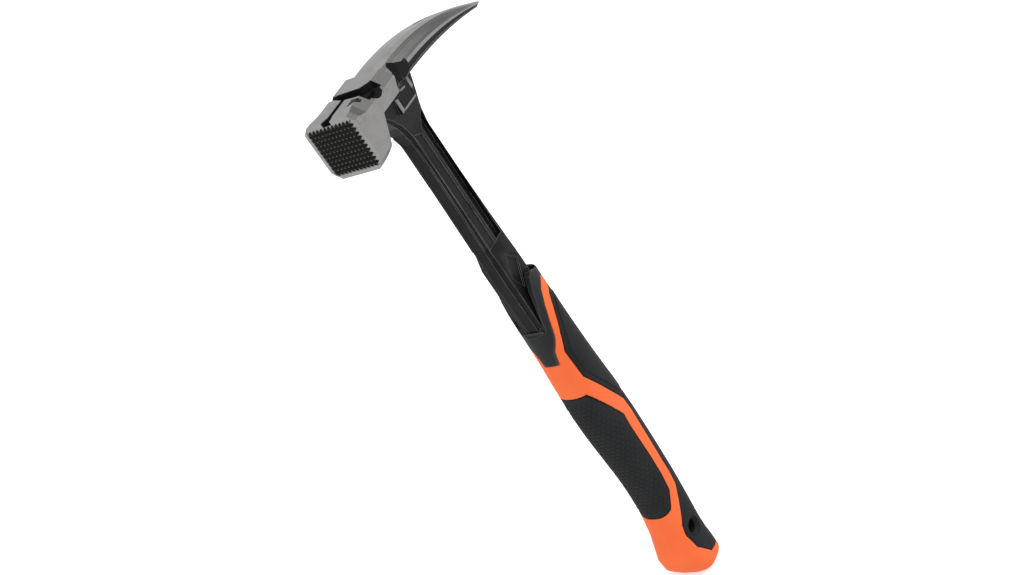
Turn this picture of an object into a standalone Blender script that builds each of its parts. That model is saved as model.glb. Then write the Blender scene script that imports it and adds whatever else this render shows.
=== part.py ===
"""Straight-claw framing hammer: one forging, a nail-holder magnet and a moulded two-colour grip.

Frame: origin at the middle of the handle's flat end, +Z up the handle to the head,
+X the way the head strikes, +Y across the claw. Lengths are in metres.
"""
import math

import bmesh
import bpy
from mathutils import Vector

MM = 0.001

# ---- driving dimensions -------------------------------------------------------------------
LENGTH = 381.0 * MM            # handle end to the top of the head (15 in)
FACE_REACH = 51.0 * MM         # handle axis to the tips of the face's teeth
CLAW_REACH = 93.5 * MM         # handle axis to the claw's tips
FACE_WIDTH = 34.0 * MM         # across the striking face
FACE_HEIGHT = 32.0 * MM        # top to bottom of the striking face
SHANK_THICKNESS = 11.0 * MM    # the steel shank, across the claw
GRIP_LENGTH = 238.0 * MM       # handle end to the collar's highest point
GRIP_DEPTH = 35.0 * MM         # the grip's fullest size, striking way
GRIP_WIDTH = 28.4 * MM         # the grip's fullest size in the palm, across the claw
SHELL = 3.0 * MM               # thickness of the outer moulding over the core
GAP = 0.3 * MM                 # clearance between touching pieces
EDGE_RADIUS = 2.0 * MM         # rounding of the handle end's edge

# ---- head -------------------------------------------------------------------------------
HEAD_TOP = LENGTH
CHEEK_BOTTOM = HEAD_TOP - 13.6 * MM
FACE_BOTTOM = HEAD_TOP - FACE_HEIGHT
POLL_RADIUS = 8.0 * MM         # curve from the poll's underside up to the neck
TOP_CHAMFER = 5.5 * MM
FACE_CHAMFER = 3.6 * MM
BOTTOM_CHAMFER = 4.6 * MM
TOOTH_PITCH = 2.5 * MM
TOOTH_HEIGHT = 1.0 * MM
TEETH_ACROSS = 12
TEETH_DOWN = 11
CLAW_TOP_SAG = 0.0027 / MM     # drop of the claw's top line per length squared
CLAW_UNDER_SAG = 0.0014 / MM   # the same for its underside
CLAW_THICKNESS = 14.5 * MM
CLAW_ROOT_HALF = 13.8 * MM
CLAW_TIP_HALF = 9.8 * MM
TIP_BEVEL = 4.0 * MM           # length of the bevel that brings the claw to its edge
TIP_EDGE = 1.2 * MM            # height of that edge
SLOT_APEX = -46.0 * MM         # where the claw's V closes
SLOT_TIP_HALF = 4.0 * MM
SLOT_APEX_RADIUS = 1.3 * MM
GROOVE_DEPTH = 4.2 * MM
MAGNET_RADIUS = 3.0 * MM
MAGNET_HEIGHT = 3.0 * MM
MAGNET_X = 41.5 * MM

# ---- grip ---------------------------------------------------------------------------------
TANG_BOTTOM = 46.0 * MM
CORE_TOP = 194.0 * MM
CORE_BOTTOM = 3.6 * MM
TETHER_RADIUS = 4.0 * MM
TETHER_FLARE = 2.2 * MM        # extra radius at the hole's mouths
STEP_DEPTH = 1.2 * MM          # the steps across the palm side of the lower pad
GRIP_SIDES = 40                # corners round the grip's outline
GRIP_LEVELS = 30

# The grip at its standard size: height, back, front, half width, squareness (millimetres).
GRIP_STATIONS = (
    (0.0, -9.5, 15.5, 15.4, 3.0),
    (6.0, -10.0, 20.5, 16.2, 2.9),
    (14.0, -9.8, 24.5, 16.3, 2.8),
    (22.0, -9.8, 22.5, 16.0, 2.7),
    (32.0, -11.0, 18.6, 15.2, 2.6),
    (45.0, -13.5, 16.5, 14.5, 2.5),
    (60.0, -15.6, 14.8, 14.0, 2.4),
    (80.0, -16.8, 14.4, 13.9, 2.4),
    (100.0, -17.4, 15.6, 14.1, 2.4),
    (120.0, -17.7, 17.1, 14.2, 2.4),
    (140.0, -16.8, 17.3, 14.2, 2.4),
    (160.0, -15.2, 16.2, 14.0, 2.4),
    (180.0, -14.2, 14.6, 13.6, 2.4),
    (200.0, -14.0, 14.0, 13.1, 2.4),
    (220.0, -14.4, 13.8, 12.7, 2.4),
    (240.0, -14.6, 13.8, 12.3, 2.4),
)
STANDARD_LENGTH = 238.0
STANDARD_DEPTH = 35.0
STANDARD_WIDTH = 28.4

# Side views of the pads at the standard size: (striking way, height) in millimetres.
COLLAR_RIM = ((-30, 231), (-9, 232.5), (-1, 236), (2, 235), (6, 227), (10, 213), (12, 204.5), (14.5, 200.5), (30, 200.5))
COLLAR_BASE = ((30, 180), (14, 180), (13, 189), (10, 197), (7.5, 207), (4.5, 216), (0, 224), (-6, 228), (-30, 226))
MOAT = ((-12.4, 250), (-12.4, 229), (-3, 232), (3, 226), (8.5, 211), (12.4, 201.5), (12.4, 250))
UPPER_PAD = (
    (-30, 219), (-9, 220), (-4, 217), (1.5, 207), (6.5, 196), (10, 186), (10, 166),
    (8, 161), (1, 146), (-6, 132), (-30, 132),
)
LOWER_PAD = (
    (-30, 131.7), (-6.2, 131.7), (-7, 122), (-5.8, 97), (-4.4, 69), (-3, 61), (5, 50), (12, 39),
    (14, 32), (14, 22), (6, 9), (-4, 6), (-30, 6),
)
PALM_PAD = (
    (30, 155), (14, 155), (10.5, 146), (1.8, 126), (2.6, 117), (2.4, 90), (2.8, 76),
    (4.5, 64), (11, 53), (15.5, 50.5), (30, 50.5),
)
PALM_STEPS = (113, 92, 71, 50)  # heights of the steps down the lower pad's back
TETHER_POINT = (5.8, 32)        # side view of the tether hole's centre


# ---- helpers ------------------------------------------------------------------------------
def clear_scene():
    for item in list(bpy.data.objects):
        bpy.data.objects.remove(item, do_unlink=True)


def make_collection(name):
    collection = bpy.data.collections.new(name)
    bpy.context.scene.collection.children.link(collection)
    return collection


def make_material(name, colour, roughness, metallic=0.0):
    material = bpy.data.materials.new(name)
    material.use_nodes = True
    shader = material.node_tree.nodes["Principled BSDF"]
    shader.inputs["Base Color"].default_value = (*colour, 1.0)
    shader.inputs["Roughness"].default_value = roughness
    shader.inputs["Metallic"].default_value = metallic
    return material


def mesh_object(name, bm, collection):
    mesh = bpy.data.meshes.new(name)
    bmesh.ops.recalc_face_normals(bm, faces=bm.faces)
    bm.to_mesh(mesh)
    bm.free()
    item = bpy.data.objects.new(name, mesh)
    collection.objects.link(item)
    return item


def hide_as_tool(item):
    item.hide_render = True
    item.display_type = "WIRE"


def loft(name, rings, collection):
    """A closed body through rings of points that all have the same count."""
    bm = bmesh.new()
    rows = [[bm.verts.new(point) for point in ring] for ring in rings]
    count = len(rows[0])
    for lower, upper in zip(rows[:-1], rows[1:]):
        for i in range(count):
            j = (i + 1) % count
            bm.faces.new((lower[i], lower[j], upper[j], upper[i]))
    bm.faces.new(rows[0][::-1])
    bm.faces.new(rows[-1])
    return mesh_object(name, bm, collection)


def flat_prism(name, outline, thickness, collection, rotation=(0.0, 0.0, 0.0), centre=(0.0, 0.0, 0.0)):
    """A flat outline as a filled 2D curve, extruded, and turned into a welded mesh."""
    curve = bpy.data.curves.new(name, "CURVE")
    curve.dimensions = "2D"
    curve.fill_mode = "BOTH"
    curve.extrude = thickness / 2.0
    spline = curve.splines.new("POLY")
    spline.points.add(len(outline) - 1)
    for point, (u, v) in zip(spline.points, outline):
        point.co = (u, v, 0.0, 1.0)
    spline.use_cyclic_u = True
    drawn = bpy.data.objects.new(name + "_outline", curve)
    drawn.location = centre
    drawn.rotation_euler = rotation
    collection.objects.link(drawn)
    bpy.context.view_layer.update()
    evaluated = drawn.evaluated_get(bpy.context.evaluated_depsgraph_get())
    mesh = bpy.data.meshes.new_from_object(evaluated)
    bm = bmesh.new()
    bm.from_mesh(mesh)
    bmesh.ops.remove_doubles(bm, verts=bm.verts, dist=0.01 * MM)
    bmesh.ops.recalc_face_normals(bm, faces=bm.faces)
    bm.to_mesh(mesh)
    bm.free()
    item = bpy.data.objects.new(name, mesh)
    item.matrix_world = drawn.matrix_world
    collection.objects.link(item)
    bpy.data.objects.remove(drawn)
    return item


def side_prism(name, outline, collection, y_from, y_to):
    """An outline in the side view (x, z), extruded across the hammer from y_from to y_to."""
    centre = (0.0, (y_from + y_to) / 2.0, 0.0)
    return flat_prism(name, outline, y_to - y_from, collection, (math.radians(90.0), 0.0, 0.0), centre)


def top_prism(name, outline, collection, z_from, z_to):
    """An outline in the top view (x, y), extruded from z_from to z_to."""
    centre = (0.0, 0.0, (z_from + z_to) / 2.0)
    return flat_prism(name, outline, z_to - z_from, collection, centre=centre)


def cylinder(name, radius, length, centre, collection, rotation=(0.0, 0.0, 0.0), top_radius=None, sides=32):
    bm = bmesh.new()
    end = radius if top_radius is None else top_radius
    bmesh.ops.create_cone(bm, cap_ends=True, segments=sides, radius1=radius, radius2=end, depth=length)
    item = mesh_object(name, bm, collection)
    item.location = centre
    item.rotation_euler = rotation
    return item


def boolean(target, tool, operation):
    hide_as_tool(tool)
    modifier = target.modifiers.new(operation.lower() + "_" + tool.name, "BOOLEAN")
    modifier.operation = operation
    modifier.object = tool
    modifier.solver = "EXACT"


def finish(item, material, smooth_angle=35.0):
    item.data.materials.clear()
    item.data.materials.append(material)
    item.data.shade_smooth()
    item.data.set_sharp_from_angle(angle=math.radians(smooth_angle))


def interpolate(stations, height):
    """A smooth curve through the stations' values, with level ends (cubic Hermite)."""
    last = len(stations) - 1
    if height <= stations[0][0]:
        return stations[0][1:]
    if height >= stations[last][0]:
        return stations[last][1:]
    index = max(i for i in range(last) if stations[i][0] <= height)
    low, high = stations[index], stations[index + 1]
    span = high[0] - low[0]
    t = (height - low[0]) / span
    values = []
    for k in range(1, len(low)):
        slope_low = station_slope(stations, index, k)
        slope_high = station_slope(stations, index + 1, k)
        value = (2 * t**3 - 3 * t**2 + 1) * low[k] + (3 * t**2 - 2 * t**3) * high[k]
        value += (t**3 - 2 * t**2 + t) * span * slope_low + (t**3 - t**2) * span * slope_high
        values.append(value)
    return values


def station_slope(stations, index, k):
    before = stations[max(index - 1, 0)]
    after = stations[min(index + 1, len(stations) - 1)]
    return (after[k] - before[k]) / (after[0] - before[0])


# ---- grip surfaces ------------------------------------------------------------------------
def grip_x(value):
    return value / STANDARD_DEPTH * GRIP_DEPTH


def grip_z(value):
    return value / STANDARD_LENGTH * GRIP_LENGTH


def grip_outline(points):
    return [(grip_x(x), grip_z(z)) for x, z in points]


def grip_section(height):
    """Centre, half depth, half width (metres) and squareness of the grip at one height."""
    back, front, half, squareness = interpolate(GRIP_STATIONS, height / GRIP_LENGTH * STANDARD_LENGTH)
    width = half / STANDARD_WIDTH * GRIP_WIDTH
    return grip_x((back + front) / 2.0), grip_x((front - back) / 2.0), width, squareness


def grip_ring(height, inset):
    """One level of the grip: a squared ellipse, moved inward by inset."""
    centre, depth, width, squareness = grip_section(height)
    ring = []
    for i in range(GRIP_SIDES):
        angle = 2.0 * math.pi * i / GRIP_SIDES
        c, s = math.cos(angle), math.sin(angle)
        x = centre + (depth - inset) * math.copysign(abs(c) ** (2.0 / squareness), c)
        y = (width - inset) * math.copysign(abs(s) ** (2.0 / squareness), s)
        ring.append((x, y, height))
    return ring


def grip_body(name, collection, bottom, top, inset, edge=0.0):
    """The grip's form between two heights, with its lower edge rounded to the radius edge."""
    rings = []
    if edge > 0.0:
        for degrees in (0.0, 30.0, 60.0):
            angle = math.radians(degrees)
            rise = edge * (1.0 - math.cos(angle))
            shrink = edge * (1.0 - math.sin(angle))
            rings.append(grip_ring(bottom + rise, inset + shrink))
    start = bottom + edge
    for i in range(GRIP_LEVELS + 1):
        rings.append(grip_ring(start + (top - start) * i / GRIP_LEVELS, inset))
    return loft(name, rings, collection)


def grow(outline, distance):
    """The outline moved outward by distance, corner by corner."""
    count = len(outline)
    area = sum(outline[i][0] * outline[(i + 1) % count][1] - outline[(i + 1) % count][0] * outline[i][1]
               for i in range(count))
    turn = 1.0 if area > 0.0 else -1.0
    grown = []
    for i in range(count):
        here = Vector(outline[i])
        before = (here - Vector(outline[i - 1])).normalized()
        after = (Vector(outline[(i + 1) % count]) - here).normalized()
        normal_before = Vector((before.y, -before.x)) * turn
        normal_after = Vector((after.y, -after.x)) * turn
        middle = (normal_before + normal_after).normalized()
        grown.append(tuple(here + middle * (distance / middle.dot(normal_after))))
    return grown


# ---- steel --------------------------------------------------------------------------------
def shank_stations():
    """Height, back, front, half width of the shank and neck; the tang is the slim part below."""
    half = SHANK_THICKNESS / 2.0
    tang = half * 0.72
    grip_mouth = grip_z(197.0)
    return (
        (TANG_BOTTOM, -6.0 * MM, 6.0 * MM, tang * 0.85),
        (TANG_BOTTOM + 4.0 * MM, -7.5 * MM, 7.5 * MM, tang),
        (CORE_TOP - 5.0 * MM, -8.6 * MM, 9.0 * MM, tang),
        (grip_mouth, -10.8 * MM, 11.4 * MM, half),
        (GRIP_LENGTH + 2.0 * MM, -11.4 * MM, 12.0 * MM, half),
        (HEAD_TOP - 106.0 * MM, -9.9 * MM, 11.2 * MM, half),
        (HEAD_TOP - 75.0 * MM, -9.0 * MM, 10.6 * MM, half),
        (HEAD_TOP - 44.0 * MM, -8.8 * MM, 10.5 * MM, half),
        (HEAD_TOP - 37.0 * MM, -9.2 * MM, 12.4 * MM, half + 0.5 * MM),
        (HEAD_TOP - 31.0 * MM, -10.3 * MM, 15.4 * MM, half + 1.6 * MM),
        (HEAD_TOP - 25.0 * MM, -11.6 * MM, 20.0 * MM, half + 2.8 * MM),
        (HEAD_TOP - 19.5 * MM, -13.2 * MM, 25.5 * MM, half + 3.5 * MM),
        (HEAD_TOP - 14.5 * MM, -15.0 * MM, 31.0 * MM, half + 3.8 * MM),
        (HEAD_TOP - 10.0 * MM, -15.5 * MM, 32.0 * MM, half + 3.8 * MM),
    )


def shank_ring(height, back, front, half, swell):
    """A rectangle with its four edges cut at 45 degrees."""
    back -= swell
    front += swell
    half += swell
    corner = 2.0 * MM
    return [
        (front, half - corner, height), (front - corner, half, height),
        (back + corner, half, height), (back, half - corner, height),
        (back, corner - half, height), (back + corner, -half, height),
        (front - corner, -half, height), (front, corner - half, height),
    ]


def shank(name, collection, swell=0.0):
    stations = shank_stations()
    rings = [shank_ring(*station, swell) for station in stations]
    if swell > 0.0:
        low = stations[0]
        rings.insert(0, shank_ring(low[0] - swell, low[1], low[2], low[3], swell))
    return loft(name, rings, collection)


def claw_top(x):
    return HEAD_TOP - CLAW_TOP_SAG * x * x


def claw_bottom(x):
    return HEAD_TOP - CLAW_THICKNESS - CLAW_UNDER_SAG * x * x


def claw_ring(x):
    """One slice of the claw: a crowned top, sloped shoulders, short sides and a flat underside."""
    top = claw_top(x)
    bottom = claw_bottom(x)
    share = (top - bottom) / CLAW_THICKNESS
    along = min(max(-x / CLAW_REACH, 0.0), 1.0)
    half = CLAW_ROOT_HALF + (CLAW_TIP_HALF - CLAW_ROOT_HALF) * along**1.3
    profile = (
        (0.0, top), (half * 0.42, top - 0.3 * MM * share), (half * 0.68, top - 1.6 * MM * share),
        (half * 0.80, top - 3.4 * MM * share), (half * 0.93, top - 6.2 * MM * share),
        (half, top - 7.6 * MM * share), (half, bottom + 2.0 * MM * share),
        (half * 0.88, bottom), (0.0, bottom),
    )
    ring = [(x, y, z) for y, z in profile]
    ring += [(x, -y, z) for y, z in profile[-2:0:-1]]
    return ring


def claw(name, collection):
    start = 12.0 * MM
    slices = 22
    positions = [start - (start + CLAW_REACH - TIP_BEVEL) * i / slices for i in range(slices + 1)]
    rings = [claw_ring(x) for x in positions]
    top = claw_top(-CLAW_REACH)
    edge = []
    for x, y, z in rings[-1]:
        share = (claw_top(x) - z) / (claw_top(x) - claw_bottom(x))
        edge.append((-CLAW_REACH, y * 0.985, top - share * TIP_EDGE))
    return loft(name, rings + [edge], collection)


def arc(centre, radius, start, end, steps):
    points = []
    for i in range(steps + 1):
        angle = math.radians(start + (end - start) * i / steps)
        points.append((centre[0] + radius * math.cos(angle), centre[1] + radius * math.sin(angle)))
    return points


def head_outline(face_x):
    """Side view of the poll and the cheeks."""
    curl = arc((face_x - 5.0 * MM, FACE_BOTTOM + POLL_RADIUS), POLL_RADIUS, 200.0, 270.0, 8)
    return [
        (face_x, HEAD_TOP), (8.6 * MM, HEAD_TOP), (8.4 * MM, HEAD_TOP - 6.5 * MM),
        (12.4 * MM, CHEEK_BOTTOM), (29.8 * MM, CHEEK_BOTTOM), *curl, (face_x, FACE_BOTTOM),
    ]


def edge_cutter(name, collection, side, edge_z, upward, sizes):
    """A three-cornered bar along X that takes a 45-degree chamfer off one long edge of the head."""
    over = 1.0 * MM
    half = FACE_WIDTH / 2.0
    rings = []
    for x, size in sizes:
        outer = side * (half + over)
        inner = side * (half - size - over)
        rings.append([
            (x, outer, edge_z + upward * over), (x, inner, edge_z + upward * over),
            (x, outer, edge_z - upward * (size + over)),
        ])
    return loft(name, rings, collection)


def teeth(name, collection, face_x):
    """The milled face: a grid of four-sided points on a thin slab sunk into the face."""
    bm = bmesh.new()
    sink = 1.5 * MM
    width = TEETH_ACROSS * TOOTH_PITCH
    height = TEETH_DOWN * TOOTH_PITCH
    y0 = -width / 2.0
    z0 = (HEAD_TOP + FACE_BOTTOM - height) / 2.0
    base = face_x
    corners = {}
    for i in range(TEETH_ACROSS + 1):
        for j in range(TEETH_DOWN + 1):
            corners[i, j] = bm.verts.new((base, y0 + i * TOOTH_PITCH, z0 + j * TOOTH_PITCH))
    for i in range(TEETH_ACROSS):
        for j in range(TEETH_DOWN):
            tip_y = y0 + (i + 0.5) * TOOTH_PITCH
            tip_z = z0 + (j + 0.5) * TOOTH_PITCH
            tip = bm.verts.new((base + TOOTH_HEIGHT, tip_y, tip_z))
            ring = [corners[i, j], corners[i + 1, j], corners[i + 1, j + 1], corners[i, j + 1]]
            for a, b in zip(ring, ring[1:] + ring[:1]):
                bm.faces.new((a, b, tip))
    border = [corners[i, 0] for i in range(TEETH_ACROSS + 1)]
    border += [corners[TEETH_ACROSS, j] for j in range(1, TEETH_DOWN + 1)]
    border += [corners[i, TEETH_DOWN] for i in range(TEETH_ACROSS - 1, -1, -1)]
    border += [corners[0, j] for j in range(TEETH_DOWN - 1, 0, -1)]
    sunk = [bm.verts.new((base - sink, vert.co.y, vert.co.z)) for vert in border]
    for i, vert in enumerate(border):
        j = (i + 1) % len(border)
        bm.faces.new((vert, border[j], sunk[j], sunk[i]))
    bm.faces.new(sunk)
    return mesh_object(name, bm, collection)


def slot_outline():
    """Top view of the claw's V, closing in a small round."""
    tip = -CLAW_REACH - 2.0 * MM
    round_end = arc((SLOT_APEX - SLOT_APEX_RADIUS, 0.0), SLOT_APEX_RADIUS, -80.0, 80.0, 8)
    return [(tip, -SLOT_TIP_HALF), *round_end, (tip, SLOT_TIP_HALF)]


def groove_outline():
    """Top view of the nail holder's cross groove, wider towards +Y."""
    half = FACE_WIDTH / 2.0 + 2.0 * MM
    near = [(18.6 * MM, half), (31.4 * MM, half), (32.2 * MM, 9.0 * MM), (31.2 * MM, 0.0), (28.0 * MM, -8.0 * MM)]
    far = [(28.0 * MM, -half), (23.6 * MM, -half), (23.2 * MM, 6.0 * MM), (18.6 * MM, 10.5 * MM)]
    return near + far


def nail_slot_outline(face_x):
    """Top view of the slot that guides a nail's shank, flared at the face's rim."""
    return [
        (30.0 * MM, -1.5 * MM), (face_x - 5.0 * MM, -1.5 * MM), (face_x - 2.0 * MM, -3.2 * MM),
        (face_x + 3.0 * MM, -3.6 * MM), (face_x + 3.0 * MM, 2.6 * MM), (face_x - 2.0 * MM, 2.4 * MM),
        (face_x - 5.0 * MM, 1.5 * MM), (30.0 * MM, 1.5 * MM),
    ]


def side_puller_outline(side):
    """Top view of the side nail puller, a notch that narrows inward."""
    half = FACE_WIDTH / 2.0
    points = (
        (8.5 * MM, half + 3.0 * MM), (3.6 * MM, half - 4.5 * MM), (2.6 * MM, half - 6.6 * MM),
        (0.0, half - 7.4 * MM), (-2.6 * MM, half - 5.6 * MM), (-12.0 * MM, half - 2.6 * MM),
        (-14.5 * MM, half + 3.0 * MM),
    )
    return [(x, side * y) for x, y in points]


def shank_pockets(steel, tools):
    """Both sides of the shank: a long pocket at the back, a short sloped one and a bare panel."""
    half = SHANK_THICKNESS / 2.0
    low = GRIP_LENGTH
    high = HEAD_TOP
    long_pocket = [
        (-7.0 * MM, high - 34.0 * MM), (-0.2 * MM, high - 42.0 * MM), (-0.2 * MM, low + 15.0 * MM),
        (-7.0 * MM, low + 9.0 * MM),
    ]
    short_pocket = [
        (-0.6 * MM, low + 13.0 * MM), (-7.0 * MM, low + 7.0 * MM), (-0.6 * MM, low - 5.0 * MM),
        (6.4 * MM, low + 1.5 * MM),
    ]
    panel = [
        (2.0 * MM, high - 44.0 * MM), (8.4 * MM, high - 41.0 * MM), (8.6 * MM, low + 22.0 * MM),
        (2.0 * MM, low + 16.0 * MM),
    ]
    for label, outline, depth in (("long", long_pocket, 3.0 * MM), ("short", short_pocket, 1.6 * MM),
                                  ("panel", panel, 0.5 * MM)):
        for side, tag in ((1.0, "near"), (-1.0, "far")):
            ends = sorted((side * (half - depth), side * (half + 6.0 * MM)))
            boolean(steel, side_prism(f"cut_{label}_pocket_{tag}", outline, tools, *ends), "DIFFERENCE")


def neck_plates(steel, tools):
    """A raised plate on each side of the neck with a three-sided bracket round it."""
    half = SHANK_THICKNESS / 2.0 + 3.8 * MM
    top = HEAD_TOP
    plate = [
        (10.6 * MM, top - 26.5 * MM), (10.6 * MM, top - 13.0 * MM), (-8.0 * MM, top - 13.0 * MM),
        (-8.0 * MM, top - 21.0 * MM), (-5.5 * MM, top - 26.5 * MM),
    ]
    for side, tag in ((1.0, "near"), (-1.0, "far")):
        ends = sorted((side * 2.0 * MM, side * (half + 0.6 * MM)))
        boolean(steel, side_prism(f"join_neck_plate_{tag}", plate, tools, *ends), "UNION")


def build_steel(parts, tools):
    face_x = FACE_REACH - TOOTH_HEIGHT
    half = FACE_WIDTH / 2.0
    steel = side_prism("forged_head_and_shank", head_outline(face_x), parts, -half, half)
    boolean(steel, claw("join_claw", tools), "UNION")
    boolean(steel, shank("join_shank", tools), "UNION")
    neck_plates(steel, tools)
    top_sizes = ((-1.0 * MM, TOP_CHAMFER), (face_x - 10.0 * MM, TOP_CHAMFER),
                 (face_x - 6.5 * MM, TOP_CHAMFER - 0.9 * MM), (face_x - 4.0 * MM, FACE_CHAMFER),
                 (face_x + 2.0 * MM, FACE_CHAMFER))
    bottom_sizes = ((28.0 * MM, BOTTOM_CHAMFER), (face_x + 2.0 * MM, BOTTOM_CHAMFER))
    for side, tag in ((1.0, "near"), (-1.0, "far")):
        boolean(steel, edge_cutter(f"cut_top_edge_{tag}", tools, side, HEAD_TOP, 1.0, top_sizes), "DIFFERENCE")
        lower = edge_cutter(f"cut_bottom_edge_{tag}", tools, side, FACE_BOTTOM, -1.0, bottom_sizes)
        boolean(steel, lower, "DIFFERENCE")
        notch = top_prism(f"cut_side_puller_{tag}", side_puller_outline(side), tools,
                          HEAD_TOP - 16.0 * MM, HEAD_TOP + 4.0 * MM)
        boolean(steel, notch, "DIFFERENCE")
    above = HEAD_TOP + 3.0 * MM
    slot = top_prism("cut_claw_slot", slot_outline(), tools, HEAD_TOP - 60.0 * MM, above)
    boolean(steel, slot, "DIFFERENCE")
    groove = top_prism("cut_nail_groove", groove_outline(), tools, HEAD_TOP - GROOVE_DEPTH, above)
    boolean(steel, groove, "DIFFERENCE")
    seat = cylinder("cut_nail_head_seat", 5.6 * MM, 12.0 * MM, (25.0 * MM, half, HEAD_TOP - 1.4 * MM), tools,
                    rotation=(math.radians(90.0), 0.0, 0.0))
    boolean(steel, seat, "DIFFERENCE")
    guide = top_prism("cut_nail_slot", nail_slot_outline(face_x), tools, HEAD_TOP - 3.2 * MM, above)
    boolean(steel, guide, "DIFFERENCE")
    well = cylinder("cut_magnet_well", MAGNET_RADIUS + GAP, MAGNET_HEIGHT + GAP,
                    (MAGNET_X, 0.0, HEAD_TOP - 3.2 * MM - (MAGNET_HEIGHT - GAP) / 2.0), tools)
    boolean(steel, well, "DIFFERENCE")
    boolean(steel, teeth("join_teeth", tools, face_x), "UNION")
    shank_pockets(steel, tools)
    finish(steel, make_material("forged steel", (0.42, 0.42, 0.41), 0.36, 1.0), 25.0)
    return steel


def build_magnet(parts):
    floor = HEAD_TOP - 3.2 * MM - MAGNET_HEIGHT
    centre = (MAGNET_X, 0.0, floor + GAP + (MAGNET_HEIGHT - GAP) / 2.0)
    magnet = cylinder("nail_holder_magnet", MAGNET_RADIUS, MAGNET_HEIGHT - GAP, centre, parts)
    finish(magnet, make_material("plated magnet", (0.30, 0.30, 0.31), 0.30, 1.0))
    return magnet


# ---- grip pieces --------------------------------------------------------------------------
def across(name, radius, length, y, tools, top_radius=None):
    """A round tool lying across the hammer at the tether hole."""
    centre = (grip_x(TETHER_POINT[0]), y, grip_z(TETHER_POINT[1]))
    turned = (math.radians(-90.0 if y >= 0.0 else 90.0), 0.0, 0.0)
    return cylinder(name, radius, length, centre, tools, turned, top_radius, sides=28)


def hollow(piece, tag, tools):
    """Clears the room that the core and the steel take inside an outer piece."""
    core_room = grip_body(f"cut_core_room_{tag}", tools, CORE_BOTTOM - GAP, CORE_TOP + GAP, SHELL)
    boolean(piece, core_room, "DIFFERENCE")
    boolean(piece, shank(f"cut_steel_room_{tag}", tools, GAP), "DIFFERENCE")


def outer_piece(name, outline, parts, tools):
    """The part of the grip's shell that a side-view outline covers."""
    piece = grip_body(name, parts, 0.0, GRIP_LENGTH + 2.0 * MM, 0.0, EDGE_RADIUS)
    half = 40.0 * MM
    boolean(piece, side_prism(f"keep_{name}", grip_outline(outline), tools, -half, half), "INTERSECT")
    hollow(piece, name, tools)
    return piece


def build_core(parts, tools):
    core = grip_body("grip_core", parts, CORE_BOTTOM, CORE_TOP, SHELL + GAP)
    boolean(core, shank("cut_tang_socket", tools, GAP), "DIFFERENCE")
    boolean(core, across("cut_tether_core", TETHER_RADIUS, 60.0 * MM, 0.0, tools), "DIFFERENCE")
    finish(core, make_material("core plastic", (0.05, 0.05, 0.05), 0.6))
    return core


def build_frame(parts, tools):
    """The orange moulding: a ring and two stripes above, a front band, and the butt."""
    frame = grip_body("grip_frame", parts, 0.0, GRIP_LENGTH + 2.0 * MM, 0.0, EDGE_RADIUS)
    above_base = ((-30, 260), (30, 260), *COLLAR_BASE)
    half = 40.0 * MM
    for tag, outline in (("collar", above_base), ("upper", UPPER_PAD), ("lower", LOWER_PAD), ("palm", PALM_PAD)):
        seat = side_prism(f"cut_{tag}_seat", grow(grip_outline(outline), GAP), tools, -half, half)
        boolean(frame, seat, "DIFFERENCE")
    hollow(frame, "frame", tools)
    finish(frame, make_material("orange rubber", (1.0, 0.16, 0.035), 0.5))
    return frame


def build_collar(parts, tools, rubber):
    collar = outer_piece("grip_collar", (*COLLAR_RIM, *COLLAR_BASE), parts, tools)
    wide = grip_section(GRIP_LENGTH)[2] - 3.6 * MM
    boolean(collar, side_prism("cut_moat", grip_outline(MOAT), tools, -wide, wide), "DIFFERENCE")
    finish(collar, rubber)
    return collar


def build_lower_pad(parts, tools, rubber):
    pad = outer_piece("lower_back_pad", LOWER_PAD, parts, tools)
    for number, level in enumerate(PALM_STEPS, start=1):
        top = grip_z(level)
        centre, depth, _, _ = grip_section(top)
        back = centre - depth
        step = [
            (back - 6.0 * MM, top + 1.2 * MM), (back + STEP_DEPTH, top), (back - 0.2 * MM, top - 11.0 * MM),
            (back - 6.0 * MM, top - 11.0 * MM),
        ]
        boolean(pad, side_prism(f"cut_palm_step_{number}", step, tools, -20.0 * MM, 20.0 * MM), "DIFFERENCE")
    boolean(pad, across("cut_tether_pad", TETHER_RADIUS, 60.0 * MM, 0.0, tools), "DIFFERENCE")
    surface = grip_section(grip_z(TETHER_POINT[1]))[2]
    for side, tag in ((1.0, "near"), (-1.0, "far")):
        flare = across(f"cut_tether_flare_{tag}", TETHER_RADIUS, 3.0 * MM, side * (surface - 0.9 * MM), tools,
                       TETHER_RADIUS + TETHER_FLARE)
        boolean(pad, flare, "DIFFERENCE")
    finish(pad, rubber)
    return pad


def build_hammer():
    clear_scene()
    parts = make_collection("claw_hammer")
    tools = make_collection("cutters")
    build_steel(parts, tools)
    build_magnet(parts)
    build_core(parts, tools)
    build_frame(parts, tools)
    rubber = make_material("black rubber", (0.03, 0.032, 0.034), 0.62)
    build_collar(parts, tools, rubber)
    finish(outer_piece("upper_back_pad", UPPER_PAD, parts, tools), rubber)
    build_lower_pad(parts, tools, rubber)
    finish(outer_piece("front_palm_pad", PALM_PAD, parts, tools), rubber)


build_hammer()
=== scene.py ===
import math

import bmesh
import bpy
from mathutils import Matrix, Vector


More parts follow.
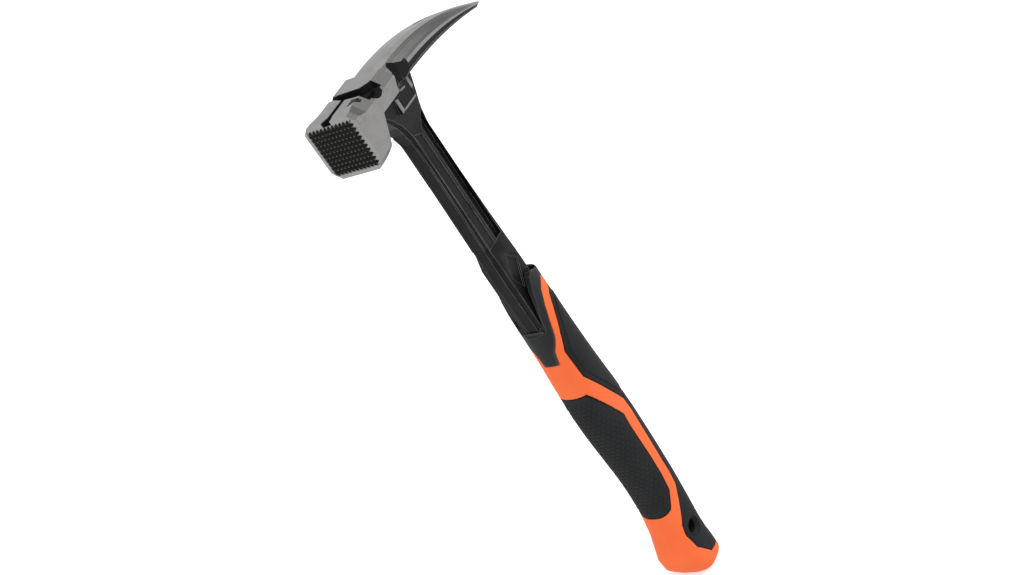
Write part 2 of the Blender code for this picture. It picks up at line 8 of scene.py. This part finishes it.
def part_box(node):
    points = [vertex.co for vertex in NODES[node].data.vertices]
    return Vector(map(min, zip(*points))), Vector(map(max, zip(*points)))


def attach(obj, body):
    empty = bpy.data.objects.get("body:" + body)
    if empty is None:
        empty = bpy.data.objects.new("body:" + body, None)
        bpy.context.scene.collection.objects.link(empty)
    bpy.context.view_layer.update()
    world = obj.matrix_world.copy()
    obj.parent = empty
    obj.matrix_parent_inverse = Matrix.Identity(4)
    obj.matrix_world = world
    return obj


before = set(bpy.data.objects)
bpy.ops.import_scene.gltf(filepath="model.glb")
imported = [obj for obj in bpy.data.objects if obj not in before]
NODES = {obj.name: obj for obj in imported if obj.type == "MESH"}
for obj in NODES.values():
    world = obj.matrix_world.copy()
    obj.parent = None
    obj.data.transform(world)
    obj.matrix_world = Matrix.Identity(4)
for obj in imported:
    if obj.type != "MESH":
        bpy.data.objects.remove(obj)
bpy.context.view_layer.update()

MM = 0.001

# ---- places, all taken from the frame -----------------------------------------------------
STEEL_LOW, STEEL_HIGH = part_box("forged_head_and_shank")
PALM_LOW, PALM_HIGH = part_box("front_palm_pad")
HEAD_TOP = STEEL_HIGH.z
HALF_FACE = STEEL_HIGH.y
PAINT_DROP = 9.8 * MM                  # the claw is bare down to this far under its top line,
PAINT_RISE = 0.88                      # less this times x squared towards its thinner tip
FACE_X = STEEL_HIGH.x - 1.0 * MM       # the face, behind the tips of its teeth
CHEEK_BOTTOM = HEAD_TOP - 13.6 * MM
TOP_CHAMFER = 5.5 * MM
TOOTH_PITCH = 2.5 * MM
POLL_SLOPE = 0.59                      # how far the poll's back leans towards the face per height
COLLAR_TOP = 236.0 * MM                # the collar's top above the grip's lower end
CLAW_SAG = 2.7                         # the claw's top line drops by this times x squared (metres)


# ---- shader fields: number sockets with plain arithmetic --------------------------------------
class Field:
    """One number of a material, as a socket or a constant, with + - * and comparisons by ramp."""

    def __init__(self, tree, value):
        self.tree = tree
        self.value = value

    def join(self, operation, other=0.0):
        node = self.tree.nodes.new("ShaderNodeMath")
        node.operation = operation
        for socket, item in zip(node.inputs, (self, other)):
            item = item.value if isinstance(item, Field) else item
            if isinstance(item, (int, float)):
                socket.default_value = item
            else:
                self.tree.links.new(item, socket)
        return Field(self.tree, node.outputs[0])

    def __add__(self, other):
        return self.join("ADD", other)

    def __sub__(self, other):
        return self.join("SUBTRACT", other)

    def __mul__(self, other):
        return self.join("MULTIPLY", other)

    def both(self, other):
        return self.join("MINIMUM", other)

    def either(self, other):
        return self.join("MAXIMUM", other)

    def size(self):
        return self.join("ABSOLUTE")

    def ramp(self, low, high, to_low=0.0, to_high=1.0):
        """A smooth step from to_low at low up to to_high at high."""
        node = self.tree.nodes.new("ShaderNodeMapRange")
        node.interpolation_type = "SMOOTHSTEP"
        if low > high:
            low, high, to_low, to_high = high, low, to_high, to_low
        for name, number in (("From Min", low), ("From Max", high), ("To Min", to_low), ("To Max", to_high)):
            node.inputs[name].default_value = number
        self.tree.links.new(self.value, node.inputs["Value"])
        return Field(self.tree, node.outputs["Result"])


class Surface:
    """A Principled material whose colour, roughness and bump are built from fields."""

    def __init__(self, name, specular=0.5, metallic=0.0):
        self.material = bpy.data.materials.new(name)
        self.material.use_nodes = True
        self.tree = self.material.node_tree
        self.shader = self.tree.nodes["Principled BSDF"]
        self.shader.inputs["Specular IOR Level"].default_value = specular
        self.shader.inputs["Metallic"].default_value = metallic
        self.coordinates = self.tree.nodes.new("ShaderNodeTexCoord")

    def position(self):
        """The point on the hammer, in metres, as three fields."""
        split = self.tree.nodes.new("ShaderNodeSeparateXYZ")
        self.tree.links.new(self.coordinates.outputs["Object"], split.inputs[0])
        return [Field(self.tree, split.outputs[i]) for i in range(3)]

    def facing(self):
        """The way the surface faces, as three fields."""
        geometry = self.tree.nodes.new("ShaderNodeNewGeometry")
        split = self.tree.nodes.new("ShaderNodeSeparateXYZ")
        self.tree.links.new(geometry.outputs["Normal"], split.inputs[0])
        return [Field(self.tree, split.outputs[i]) for i in range(3)]

    def noise(self, period, stretch=(1.0, 1.0, 1.0), detail=3.0):
        """Smooth random variation from 0 to 1 with the given period in metres, stretched along axes."""
        mapping = self.tree.nodes.new("ShaderNodeMapping")
        mapping.inputs["Scale"].default_value = [1.0 / factor for factor in stretch]
        texture = self.tree.nodes.new("ShaderNodeTexNoise")
        texture.inputs["Scale"].default_value = 1.0 / period
        texture.inputs["Detail"].default_value = detail
        self.tree.links.new(self.coordinates.outputs["Object"], mapping.inputs["Vector"])
        self.tree.links.new(mapping.outputs[0], texture.inputs["Vector"])
        return Field(self.tree, texture.outputs["Fac"])

    def blend(self, share, low, high):
        """A colour from low to high by a field; each may be a triple or an earlier blend."""
        node = self.tree.nodes.new("ShaderNodeMix")
        node.data_type = "RGBA"
        self.tree.links.new(share.value, node.inputs["Factor"])
        for socket, colour in ((node.inputs[6], low), (node.inputs[7], high)):
            if isinstance(colour, tuple):
                socket.default_value = (*colour, 1.0)
            else:
                self.tree.links.new(colour, socket)
        return node.outputs[2]

    def set(self, name, value):
        value = value.value if isinstance(value, Field) else value
        if isinstance(value, (int, float)):
            self.shader.inputs[name].default_value = value
        else:
            self.tree.links.new(value, self.shader.inputs[name])

    def bump(self, height, distance):
        """Bumps the surface by a field of heights, where 1 stands distance metres proud."""
        node = self.tree.nodes.new("ShaderNodeBump")
        node.inputs["Distance"].default_value = distance
        self.tree.links.new(height.value, node.inputs["Height"])
        self.tree.links.new(node.outputs[0], self.shader.inputs["Normal"])


# ---- materials ------------------------------------------------------------------------------
def without(mask):
    return mask * -1.0 + 1.0


def below_hull(surface):
    """How far a point lies inside the poll's outer faces: its top, chamfers and cheeks."""
    x, y, z = surface.position()
    side = y.size()
    under_top = z * -1.0 + HEAD_TOP
    under_chamfer = (z + side) * -0.707 + (HEAD_TOP + HALF_FACE - TOP_CHAMFER) * 0.707
    inside_cheek = side * -1.0 + HALF_FACE
    return under_top.both(under_chamfer).both(inside_cheek)


def bright_share(surface):
    """1 on the ground faces of the head and claw, 0 where the forging is painted."""
    x, y, z = surface.position()
    up = surface.facing()[2]
    over_edge = z - (x * x * -CLAW_SAG + HEAD_TOP)
    over_paint = over_edge - (x * x * PAINT_RISE - PAINT_DROP)
    upper_claw = over_paint.ramp(0.0, 0.3 * MM).both(x.ramp(-10.0 * MM, -10.4 * MM))
    crown = over_edge.ramp(-6.4 * MM, -6.2 * MM).both(up.ramp(0.2, 0.3))
    behind_poll = x + z * POLL_SLOPE
    poll_line = 27.5 * MM + CHEEK_BOTTOM * POLL_SLOPE
    lower_poll = behind_poll.ramp(poll_line, poll_line + 0.3 * MM)
    cheek = z.ramp(CHEEK_BOTTOM - 0.3 * MM, CHEEK_BOTTOM - 0.1 * MM).both(x.ramp(8.0 * MM, 8.2 * MM))
    poll = lower_poll.both(z.ramp(HEAD_TOP - 40.0 * MM, HEAD_TOP - 38.0 * MM)).either(cheek)
    cuts = below_hull(surface).ramp(0.25 * MM, 0.4 * MM)
    behind_face = x.ramp(FACE_X - 0.5 * MM, FACE_X - 0.6 * MM).both(x.ramp(9.0 * MM, 9.2 * MM))
    under_poll = z.ramp(CHEEK_BOTTOM + 4.0 * MM, CHEEK_BOTTOM + 4.5 * MM)
    cuts = cuts.both(behind_face).both(under_poll)
    return upper_claw.either(poll).either(crown).both(without(cuts))


def tooth_shade_share(surface):
    """Painted shade on the milled face: 1 low between the face's teeth, 0 at their tips and everywhere else.
    """
    x, y, z = surface.position()
    on_face = x.ramp(FACE_X - 0.15 * MM, FACE_X - 0.05 * MM)
    tips = x.ramp(FACE_X + 0.55 * MM, FACE_X + 0.95 * MM)
    middle = HEAD_TOP - 16.0 * MM
    saw = 0.9
    saw_across = y.join("PINGPONG", TOOTH_PITCH / 2.0) * saw
    saw_down = (z - middle + TOOTH_PITCH / 2.0).join("PINGPONG", TOOTH_PITCH / 2.0) * saw
    across = (y.size() + saw_down).ramp(15.3 * MM, 15.1 * MM)
    down = ((z - middle).size() + saw_across).ramp(14.1 * MM, 13.9 * MM)
    return on_face.both(across).both(down).both(without(tips * 0.4))


def chamfer_shade_share(surface):
    """1 on the sloped faces along the head's upper edges, where a darker grey is painted as shade."""
    across, up = surface.facing()[1].size(), surface.facing()[2]
    return across.ramp(0.45, 0.62).both(up.ramp(0.35, 0.5)).both(across.ramp(0.9, 0.8))


def recess_shade_share(surface):
    """Painted shade: 1 in the small three-cornered recess ahead of the cross groove, on the near side."""
    x, y, z = surface.position()
    on_top = z.ramp(HEAD_TOP - 1.8 * MM, HEAD_TOP - 1.7 * MM)
    rear = x.ramp(33.6 * MM, 33.8 * MM)
    inner = y.ramp(7.6 * MM, 7.8 * MM)
    slope = (x + y * 0.9).ramp(47.6 * MM, 47.4 * MM)
    return on_top.both(rear).both(inner).both(slope)


def edge_wear_and_light_share(surface, radius, faint=0.985, full=0.93):
    """1 along outside and inside edges, where paint wears thin, where highlights are painted and where shade
    is painted in seams.
    """
    bevel = surface.tree.nodes.new("ShaderNodeBevel")
    bevel.samples = 4
    bevel.inputs["Radius"].default_value = radius
    geometry = surface.tree.nodes.new("ShaderNodeNewGeometry")
    dot = surface.tree.nodes.new("ShaderNodeVectorMath")
    dot.operation = "DOT_PRODUCT"
    surface.tree.links.new(bevel.outputs[0], dot.inputs[0])
    surface.tree.links.new(geometry.outputs["Normal"], dot.inputs[1])
    return Field(surface.tree, dot.outputs["Value"]).ramp(faint, full)


def forged_steel():
    surface = Surface("ground and painted steel", specular=0.1)
    # the recess's painted shade gives the steel there the dark paint colour
    bright = bright_share(surface).both(without(recess_shade_share(surface)))
    cloud = surface.noise(9.0 * MM)
    grain = surface.noise(0.5 * MM, (7.0, 1.0, 1.0), 2.0)
    speck = surface.noise(0.35 * MM, detail=1.0)
    steel = surface.blend(cloud.ramp(0.3, 0.7), (0.196, 0.194, 0.189), (0.246, 0.243, 0.236))
    steel = surface.blend(grain.ramp(0.35, 0.75), steel, (0.280, 0.277, 0.269))
    # painted shade: faces turned to either side are darkened towards a deeper grey, as shade on the cheeks
    cheeks = surface.facing()[1].size().ramp(0.9, 0.97)
    steel = surface.blend(cheeks * 0.3, steel, (0.12, 0.117, 0.112))
    # painted shade: the chamfers along the head's upper edges are darkened
    steel = surface.blend(chamfer_shade_share(surface), steel, (0.100, 0.098, 0.095))
    paint = surface.blend(cloud.ramp(0.2, 0.8), (0.006, 0.006, 0.0065), (0.011, 0.011, 0.012))
    below_head = surface.position()[2].ramp(HEAD_TOP - 11.0 * MM, HEAD_TOP - 13.0 * MM)
    # rubbed paint, partly a painted highlight: the paint turns lighter grey along the edges below the head
    rubbed = edge_wear_and_light_share(surface, 0.5 * MM, 0.996, 0.955).both(cloud.ramp(0.2, 0.5)).both(below_head)
    paint = surface.blend(rubbed * 0.7, paint, (0.24, 0.24, 0.238))
    # painted shade: the milled face turns almost black low between its teeth
    teeth = tooth_shade_share(surface)
    steel = surface.blend(teeth, steel, (0.018, 0.0175, 0.017))
    surface.set("Base Color", surface.blend(bright, paint, steel))
    surface.set("Metallic", bright)
    finish = bright.ramp(0.0, 1.0, 0.48, 0.36) + grain.ramp(0.3, 0.7, -0.04, 0.05)
    surface.set("Roughness", finish + teeth * 0.2)
    surface.bump(grain * bright * 0.7 + speck * without(bright), 0.02 * MM)
    return surface.material


def rubber(name, dark, pale, period=0.45 * MM, roughness=0.62, depth=0.05 * MM, specular=0.3, border=None):
    """Moulded rubber: a fine pebbled skin, faint handling marks and, if given, a border colour along its
    edges, painted shade where it is darker and a painted highlight where it is lighter.
    """
    surface = Surface(name, specular=specular)
    marks = surface.noise(14.0 * MM, (1.0, 1.0, 2.0), 4.0)
    skin = surface.noise(period, detail=1.0)
    colour = surface.blend(marks.ramp(0.3, 0.7), dark, pale)
    if border is not None:
        # the border colour along the edges: painted shade where darker, painted highlight where lighter
        colour = surface.blend(edge_wear_and_light_share(surface, 1.5 * MM, 0.985, 0.88), colour, border)
    surface.set("Base Color", colour)
    surface.set("Roughness", marks.ramp(0.25, 0.75, roughness - 0.06, roughness + 0.06))
    surface.bump(skin, depth)
    return surface.material


def magnet_metal():
    surface = Surface("plated magnet", metallic=1.0)
    scratches = surface.noise(0.6 * MM, (1.0, 6.0, 1.0))
    surface.set("Base Color", surface.blend(scratches, (0.22, 0.22, 0.23), (0.34, 0.34, 0.35)))
    surface.set("Roughness", scratches.ramp(0.2, 0.8, 0.25, 0.4))
    surface.bump(scratches, 0.01 * MM)
    return surface.material


def dress(item, material, edge=0.0):
    """Gives a CAD node's object the material, and rounds its sharp edges to the radius edge."""
    for slot in item.material_slots:
        slot.material = material
    if edge > 0.0:
        modifier = item.modifiers.new("rounded edges", "BEVEL")
        modifier.width = edge
        modifier.segments = 2
        modifier.limit_method = "ANGLE"
        modifier.angle_limit = math.radians(38.0)
        modifier.harden_normals = True


# ---- stage ----------------------------------------------------------------------------------
def camera_rays(tree):
    """1 for rays from the camera, from glossy surfaces and through glass; 0 for the light itself."""
    path = tree.nodes.new("ShaderNodeLightPath")
    seen = Field(tree, path.outputs["Is Camera Ray"])
    for name in ("Is Glossy Ray", "Is Transmission Ray"):
        seen = seen.either(Field(tree, path.outputs[name]))
    return seen


def make_world(fill):
    world = bpy.data.worlds.new("studio")
    bpy.context.scene.world = world
    world.use_nodes = True
    tree = world.node_tree
    strength = camera_rays(tree).ramp(0.0, 1.0, fill, 1.0)
    background = tree.nodes["Background"]
    background.inputs["Color"].default_value = (1.0, 1.0, 1.0, 1.0)
    tree.links.new(strength.value, background.inputs["Strength"])


def make_floor(size, glow):
    """A pale floor at the hammer's foot that keeps its shadow and reads as white."""
    bm = bmesh.new()
    steps = 24
    rings = []
    for share in (0.02, 0.15, 0.5, 1.0):
        ring = []
        for i in range(steps):
            angle = 2.0 * math.pi * i / steps
            ring.append(bm.verts.new((size * share * math.cos(angle), size * share * math.sin(angle), 0.0)))
        rings.append(ring)
    bm.faces.new(rings[0])
    for inner, outer in zip(rings[:-1], rings[1:]):
        for i in range(steps):
            j = (i + 1) % steps
            bm.faces.new((inner[i], outer[i], outer[j], inner[j]))
    mesh = bpy.data.meshes.new("floor")
    bm.to_mesh(mesh)
    bm.free()
    floor = bpy.data.objects.new("floor", mesh)
    bpy.context.scene.collection.objects.link(floor)
    surface = Surface("paper floor", specular=0.0)
    fibre = surface.noise(3.0 * MM)
    surface.set("Base Color", surface.blend(fibre, (0.80, 0.80, 0.80), (0.82, 0.82, 0.82)))
    surface.set("Roughness", 0.9)
    surface.shader.inputs["Emission Color"].default_value = (1.0, 1.0, 1.0, 1.0)
    surface.set("Emission Strength", camera_rays(surface.tree) * glow)
    mesh.materials.append(surface.material)


def make_lamp(name, place, target, width, power):
    lamp = bpy.data.lights.new(name, "AREA")
    lamp.shape = "DISK"
    lamp.size = width
    lamp.energy = power
    item = bpy.data.objects.new(name, lamp)
    item.location = place
    aim = Vector(target) - Vector(place)
    item.rotation_euler = aim.to_track_quat("-Z", "Y").to_euler()
    bpy.context.scene.collection.objects.link(item)


def make_camera():
    """The photograph's viewing angle: from above, in front of the face and to its side, rolled."""
    data = bpy.data.cameras.new("camera")
    data.sensor_width = 36.0
    data.lens = 50.23
    data.clip_start = 0.01
    data.clip_end = 50.0
    camera = bpy.data.objects.new("camera", data)
    right = Vector((-0.36107, 0.78991, -0.49565))
    up = Vector((-0.66183, 0.15738, 0.73295))
    back = right.cross(up)
    turned = Matrix((right, up, back)).transposed().to_4x4()
    camera.matrix_world = Matrix.Translation((0.52215, 0.46644, 0.59903)) @ turned
    bpy.context.scene.collection.objects.link(camera)
    bpy.context.scene.camera = camera


def make_stage():
    make_camera()
    make_world(0.70)
    make_floor(6.0, 0.50)
    middle = (0.0, 0.0, HEAD_TOP * 0.6)
    make_lamp("overhead softbox", (-0.6, 0.9, 2.6), middle, 4.0, 60.0)
    make_lamp("front softbox", (1.6, -0.9, 0.9), middle, 2.0, 5.0)
    bpy.context.scene.view_settings.view_transform = "Standard"


# ---- detail pieces ----------------------------------------------------------------------------
def new_piece(name, bm, material, smooth=40.0):
    """Makes a mesh piece that rides on the hammer's one body."""
    mesh = bpy.data.meshes.new(name)
    bmesh.ops.recalc_face_normals(bm, faces=bm.faces)
    bm.to_mesh(mesh)
    bm.free()
    mesh.materials.append(material)
    mesh.shade_smooth()
    mesh.set_sharp_from_angle(angle=math.radians(smooth))
    piece = bpy.data.objects.new(name, mesh)
    bpy.context.scene.collection.objects.link(piece)
    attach(piece, "root")
    return piece


class Skin:
    """Points on the outside of a CAD node, found from its mesh by height and distance round it."""

    def __init__(self, node, start_angle=0.0, centre_x=0.0):
        self.node = NODES[node]
        self.start = start_angle
        self.centre_x = centre_x
        self.rows = {}

    def hit(self, angle, height):
        outward = Vector((math.cos(angle), math.sin(angle), 0.0))
        middle = Vector((self.centre_x, 0.0, height))
        found, place, normal, _ = self.node.ray_cast(middle + outward * 0.06, -outward, distance=0.056)
        return (place, normal) if found else None

    def row(self, height):
        """Distance round the node against angle, from the start angle both ways."""
        key = round(height / (0.05 * MM))
        if key not in self.rows:
            reach = []
            for way in (1.0, -1.0):
                before = self.hit(self.start, height)
                walked = 0.0
                for step in range(1, 90):
                    now = self.hit(self.start + way * math.radians(step * 1.5), height)
                    if now is None or before is None:
                        break
                    walked += (now[0] - before[0]).length
                    reach.append((way * walked, self.start + way * math.radians(step * 1.5)))
                    before = now
            self.rows[key] = sorted(reach + [(0.0, self.start)])
        return self.rows[key]

    def at(self, around, height):
        """The point and facing at a distance round the node, or None off its edge."""
        row = self.row(height)
        for (low, angle_low), (high, angle_high) in zip(row[:-1], row[1:]):
            if low <= around <= high:
                share = (around - low) / max(high - low, 1e-9)
                return self.hit(angle_low + (angle_high - angle_low) * share, height)
        return None


def palm_hexagons(material):
    """Raised hexagons over the front palm pad, kept clear of its border."""
    skin = Skin("front_palm_pad")
    bm = bmesh.new()
    pitch = 3.4 * MM
    radius = 1.72 * MM
    margin = 2.0 * MM
    rise = 0.28 * MM
    rows = int((PALM_HIGH.z - PALM_LOW.z) / (pitch * 0.866))
    for row in range(rows):
        height = PALM_LOW.z + (row + 0.5) * pitch * 0.866
        for column in range(-8, 9):
            around = (column + 0.5 * (row % 2)) * pitch
            corners = []
            for i in range(6):
                angle = math.radians(60.0 * i + 30.0)
                corners.append((math.cos(angle), math.sin(angle)))
            tests = [skin.at(around + u * margin * 1.7, height + v * margin * 1.7) for u, v in corners]
            if any(test is None for test in tests):
                continue
            rings = []
            for share, lift in ((1.0, -0.05 * MM), (0.90, rise * 0.8), (0.74, rise)):
                ring = []
                for u, v in corners:
                    spot = skin.at(around + u * radius * share, height + v * radius * share)
                    ring.append(bm.verts.new(spot[0] + spot[1] * lift))
                rings.append(ring)
            for lower, upper in zip(rings[:-1], rings[1:]):
                for i in range(6):
                    j = (i + 1) % 6
                    bm.faces.new((lower[i], lower[j], upper[j], upper[i]))
            bm.faces.new(rings[-1])
            bm.faces.new(rings[0][::-1])
    new_piece("palm_hexagons", bm, material, 60.0)


def side_bar(bm, outline, side, base, rise):
    """A thin raised bar on the neck's side: a side-view outline with a narrower top."""
    middle = Vector((sum(x for x, _ in outline), sum(z for _, z in outline))) / len(outline)
    rings = []
    for share, lift in ((1.0, -0.3 * MM), (1.0, rise * 0.6), (0.93, rise)):
        ring = []
        for x, z in outline:
            here = middle + (Vector((x, z)) - middle) * share
            ring.append(bm.verts.new((here.x, side * (base + lift), here.y)))
        rings.append(ring)
    count = len(outline)
    for lower, upper in zip(rings[:-1], rings[1:]):
        for i in range(count):
            j = (i + 1) % count
            bm.faces.new((lower[i], lower[j], upper[j], upper[i]))
    bm.faces.new(rings[-1])
    bm.faces.new(rings[0][::-1])


def neck_brackets(material):
    """The worn bars that frame the plate on each side of the neck."""
    top = HEAD_TOP
    bars = (
        ((8.0, -26.0), (10.4, -26.3), (10.4, -18.0), (8.0, -19.0)),
        ((-5.0, -26.3), (7.6, -26.3), (7.6, -25.3), (-5.6, -25.3)),
        ((-7.8, -20.9), (-5.7, -22.0), (-5.7, -14.8), (-7.8, -13.4)),
        ((2.0, -16.8), (3.4, -17.6), (-1.6, -18.4), (-2.4, -17.4)),
        ((3.4, -17.4), (4.6, -16.6), (2.6, -13.2), (1.4, -13.2)),
    )
    for side, tag in ((1.0, "near"), (-1.0, "far")):
        bm = bmesh.new()
        for bar in bars:
            side_bar(bm, [(x * MM, top + z * MM) for x, z in bar], side, 9.9 * MM, 0.25 * MM)
        new_piece("neck_bracket_" + tag, bm, material, 30.0)


def side_reach(x, z, way):
    """How far out the forging's side stands at a place in the side view."""
    steel = NODES["forged_head_and_shank"]
    best = 0.0
    for shift in (-0.35 * MM, 0.0, 0.35 * MM):
        found, place, _, _ = steel.ray_cast(Vector((x + shift, way * 0.05, z)), Vector((0.0, -way, 0.0)))
        if found and place.y * way > best:
            best = place.y * way
    return best


def worn_and_highlight_lines(material):
    """Thin lighter lines along the shank's ridges, where the paint has rubbed off, partly a painted
    highlight along the ridges.
    """
    lines = (
        ((-7.0, 341.0), (-7.5, 345.0), (-7.2, 348.4), (-0.3, 343.0), (0.35, 336.0), (0.35, 303.0),
         (0.35, 266.0)),
        ((12.5, 343.5), (11.0, 339.0), (10.0, 330.0), (10.1, 306.0), (10.6, 280.0), (11.0, 264.0)),
        ((9.4, 341.5), (8.9, 336.0), (8.9, 306.0), (9.2, 280.0), (9.6, 264.0)),
    )
    widths = (0.45 * MM, 0.35 * MM, 0.25 * MM)
    for way, tag in ((1.0, "near"), (-1.0, "far")):
        bm = bmesh.new()
        for line, width in zip(lines, widths):
            rows = []
            for (x0, z0), (x1, z1) in zip(line[:-1], line[1:]):
                start, end = Vector((x0 * MM, z0 * MM)), Vector((x1 * MM, z1 * MM))
                aside = Vector((end.y - start.y, start.x - end.x)).normalized() * width
                steps = max(1, int((end - start).length / (3.0 * MM)))
                for step in range(steps + 1):
                    spot = start + (end - start) * step / steps
                    y = side_reach(spot.x, spot.y, way)
                    left, right = spot - aside, spot + aside
                    rows.append([
                        bm.verts.new((left.x, way * (y - 0.25 * MM), left.y)),
                        bm.verts.new((spot.x, way * (y + 0.12 * MM), spot.y)),
                        bm.verts.new((right.x, way * (y - 0.25 * MM), right.y)),
                    ])
            for lower, upper in zip(rows[:-1], rows[1:]):
                for i in range(3):
                    j = (i + 1) % 3
                    bm.faces.new((lower[i], lower[j], upper[j], upper[i]))
            bm.faces.new(rows[0])
            bm.faces.new(rows[-1][::-1])
        new_piece("worn_and_highlight_lines_" + tag, bm, material, 60.0)


def applied(item):
    """The item's mesh with its modifiers, as a bmesh; the item itself is removed."""
    bpy.context.view_layer.update()
    evaluated = item.evaluated_get(bpy.context.evaluated_depsgraph_get())
    bm = bmesh.new()
    bm.from_mesh(evaluated.to_mesh())
    mesh = item.data
    bpy.data.objects.remove(item)
    bpy.data.meshes.remove(mesh)
    return bm


def scratch_object(name, bm):
    mesh = bpy.data.meshes.new(name)
    bm.to_mesh(mesh)
    bm.free()
    item = bpy.data.objects.new(name, mesh)
    bpy.context.scene.collection.objects.link(item)
    return item


def side_prism(outline, half):
    """A side-view outline (x, z) extruded across the hammer."""
    bm = bmesh.new()
    near = [bm.verts.new((x, half, z)) for x, z in outline]
    far = [bm.verts.new((x, -half, z)) for x, z in outline]
    bm.faces.new(near)
    bm.faces.new(far[::-1])
    for i in range(len(outline)):
        j = (i + 1) % len(outline)
        bm.faces.new((near[i], far[i], far[j], near[j]))
    bmesh.ops.recalc_face_normals(bm, faces=bm.faces)
    return scratch_object("prism", bm)


def raised_panel(name, node, outline, lift, material):
    """A low raised panel on a pad: the pad's own skin, grown by lift, inside a side-view outline."""
    bm = bmesh.new()
    bm.from_mesh(NODES[node].data)
    bmesh.ops.remove_doubles(bm, verts=bm.verts, dist=0.001 * MM)
    bm.normal_update()
    for vert in bm.verts:
        vert.co += vert.normal * lift
    panel = scratch_object(name + "_blank", bm)
    tool = side_prism(outline, 40.0 * MM)
    cut = panel.modifiers.new("keep", "BOOLEAN")
    cut.operation = "INTERSECT"
    cut.solver = "EXACT"
    cut.object = tool
    rounding = panel.modifiers.new("soften", "BEVEL")
    rounding.width = lift * 0.9
    rounding.segments = 3
    rounding.limit_method = "ANGLE"
    rounding.angle_limit = math.radians(45.0)
    bm = applied(panel)
    bpy.data.objects.remove(tool)
    new_piece(name, bm, material, 50.0)


def upper_pad_panel(material):
    """The upper pad's field stands a little proud, with a bevel along its lower edge."""
    outline = ((-30.0, 213.0), (-9.5, 214.0), (-5.5, 211.0), (-0.5, 203.0), (4.2, 192.0), (7.4, 184.5),
               (7.4, 168.0), (5.6, 163.5), (-1.4, 148.8), (-7.4, 136.5), (-30.0, 136.5))
    points = [(x * MM, z * MM) for x, z in outline]
    raised_panel("upper_pad_panel", "upper_back_pad", points, 0.4 * MM, material)


def foot_blank(outline, top):
    """The foot's solid: a side-view outline at full width, then a taper up onto the shank."""
    bm = bmesh.new()
    full, slim = 7.1 * MM, 5.4 * MM
    sides = []
    for way in (1.0, -1.0):
        low = [bm.verts.new((x, way * full, z)) for x, z in outline]
        high = [bm.verts.new((x, way * slim, z)) for x, z in top]
        bm.faces.new(low)
        bm.faces.new((low[0], low[-1], high[1], high[0]))
        sides.append((low, high))
    (near, near_top), (far, far_top) = sides
    for i in range(len(outline) - 1):
        bm.faces.new((near[i], near[i + 1], far[i + 1], far[i]))
    bm.faces.new((near[0], far[0], far_top[0], near_top[0]))
    bm.faces.new((near[-1], far[-1], far_top[1], near_top[1]))
    bm.faces.new((near_top[0], near_top[1], far_top[1], far_top[0]))
    bmesh.ops.recalc_face_normals(bm, faces=bm.faces)
    return scratch_object("foot_blank", bm)


def shank_foot(material):
    """The broad flat foot of the shank that fills the collar's mouth, with its sloped pocket."""
    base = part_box("grip_collar")[1].z - COLLAR_TOP
    outline = ((10.8, 250.0), (10.8, 206.0), (9.8, 203.0), (8.0, 203.6), (7.0, 208.0), (3.4, 219.0),
               (0.4, 226.0), (-4.0, 231.0), (-7.6, 232.0), (-7.6, 250.0))
    top = ((9.4, 262.0), (-7.4, 262.0))
    pocket = ((1.8, 252.6), (8.3, 240.8), (3.4, 230.3), (-4.6, 244.6))
    pocket_half_width = 2.0 * MM
    pocket_side = 7.9 * MM             # the pocket's cutter is centred this far to each side

    def lift(points):
        """Millimetre points above the grip's lower end, as metres in the part's frame."""
        return [(x * MM, z * MM + base) for x, z in points]

    foot = foot_blank(lift(outline), lift(top))
    tools = []
    for way in (1.0, -1.0):
        tool = side_prism(lift(pocket), pocket_half_width)
        tool.location.y = way * pocket_side
        tools.append(tool)
        cut = foot.modifiers.new("pocket", "BOOLEAN")
        cut.operation = "DIFFERENCE"
        cut.solver = "EXACT"
        cut.object = tool
    rounding = foot.modifiers.new("soften", "BEVEL")
    rounding.width = 0.5 * MM
    rounding.segments = 2
    rounding.limit_method = "ANGLE"
    rounding.angle_limit = math.radians(25.0)
    bm = applied(foot)
    for tool in tools:
        bpy.data.objects.remove(tool)
    new_piece("shank_foot", bm, material, 30.0)


# ---- build ------------------------------------------------------------------------------------
make_stage()
steel = forged_steel()
dress(NODES["forged_head_and_shank"], steel, 0.3 * MM)
shank_foot(steel)
dress(NODES["nail_holder_magnet"], magnet_metal())
orange = rubber("orange rubber", (0.96, 0.158, 0.040), (1.0, 0.180, 0.050), specular=0.2)
# the black rubber's near-black border is painted shade in the seams round the pads
black = rubber("black rubber", (0.020, 0.021, 0.022), (0.028, 0.029, 0.030), specular=0.04,
               border=(0.0012, 0.0012, 0.0012))
texture = rubber("textured rubber", (0.019, 0.020, 0.021), (0.027, 0.028, 0.029), specular=0.05)
dress(NODES["grip_frame"], orange, 0.5 * MM)
# the collar rubber's lighter border is a painted highlight along its rim
rim = rubber("collar rubber", (0.011, 0.0117, 0.0124), (0.016, 0.017, 0.018), specular=0.18,
             border=(0.045, 0.048, 0.052))
dress(NODES["grip_collar"], rim, 0.5 * MM)
for name in ("upper_back_pad", "lower_back_pad", "front_palm_pad"):
    dress(NODES[name], black, 0.5 * MM)
dress(NODES["grip_core"], rubber("core plastic", (0.008, 0.008, 0.008), (0.012, 0.012, 0.012), specular=0.1))
palm_hexagons(texture)
upper_pad_panel(texture)
# the lines' light grey is rubbed paint and, in part, a painted highlight on the ridges
worn_and_highlight_lines(rubber("worn ridge with painted highlight", (0.030, 0.030, 0.029), (0.085, 0.085, 0.082), 0.6 * MM, specular=0.2))
neck_brackets(rubber("worn bracket", (0.17, 0.17, 0.168), (0.25, 0.25, 0.245), specular=0.3))
